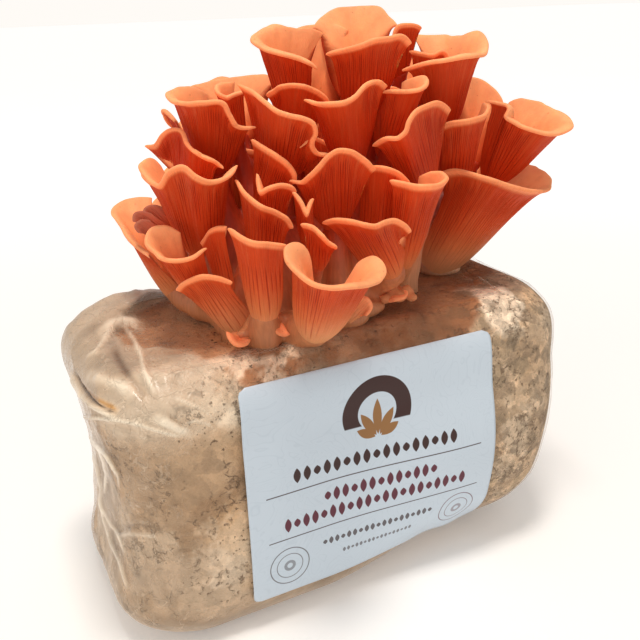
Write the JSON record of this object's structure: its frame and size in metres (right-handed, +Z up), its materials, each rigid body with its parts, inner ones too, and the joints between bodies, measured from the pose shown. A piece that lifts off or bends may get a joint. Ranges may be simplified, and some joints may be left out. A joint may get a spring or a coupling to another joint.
{
  "type": "oyster mushroom grow kit",
  "caption": "Bagged sawdust block on its long side, with ruffled fan-shaped orange mushrooms growing out of a slot in its top and a paper label on its front.",
  "frame": {"origin": "on the resting face, under the middle of the block", "axes": "+X along the block's long side to the right of the label, +Y to the back away from the label, +Z up"},
  "size_m": [0.2354, 0.1541, 0.2479],
  "materials": {
    "flesh": "satin, fresh mushroom flesh: deep orange-red gill side, peach rims and upper side",
    "young_flesh": "satin, young mushroom flesh",
    "stem": "matte, pale peach stem flesh",
    "sawdust": "rough pressed sawdust and straw with white mycelium",
    "film": "thin clear glossy film, wrinkled",
    "paper": "coated paper label, pale blue with brown print"
  },
  "bodies": {
    "root": {"bag": "film", "cap_back_1": "flesh", "cap_back_10": "flesh", "cap_back_11": "flesh", "cap_back_12": "flesh", "cap_back_13": "flesh", "cap_back_2": "flesh", "cap_back_3": "flesh", "cap_back_4": "flesh", "cap_back_5": "flesh", "cap_back_6": "flesh", "cap_back_7": "flesh", "cap_back_8": "flesh", "cap_back_9": "flesh", "cap_front_1": "flesh", "cap_front_2": "flesh", "cap_front_3": "flesh", "cap_front_4": "flesh", "cap_front_5": "flesh", "cap_left_1": "flesh", "cap_left_2": "flesh", "cap_left_3": "flesh", "cap_left_4": "flesh", "cap_left_5": "flesh", "cap_left_6": "flesh", "cap_left_7": "flesh", "cap_middle_1": "flesh", "cap_middle_10": "flesh", "cap_middle_11": "flesh", "cap_middle_12": "flesh", "cap_middle_13": "flesh", "cap_middle_2": "flesh", "cap_middle_3": "flesh", "cap_middle_4": "flesh", "cap_middle_5": "flesh", "cap_middle_6": "flesh", "cap_middle_7": "flesh", "cap_middle_8": "flesh", "cap_middle_9": "flesh", "cap_right_1": "flesh", "cap_right_2": "flesh", "cap_right_3": "flesh", "cap_right_4": "flesh", "cap_top_1": "flesh", "cap_top_2": "flesh", "cap_top_3": "flesh", "cap_top_4": "flesh", "cap_top_5": "flesh", "cap_top_6": "flesh", "label": "paper", "pin_front_1": "young_flesh", "pin_front_2": "young_flesh", "pin_front_3": "young_flesh", "pin_right_1": "young_flesh", "stem_cluster_main": "stem", "stem_cluster_right": "stem", "substrate_block": "sawdust"}
  },
  "joints": []
}
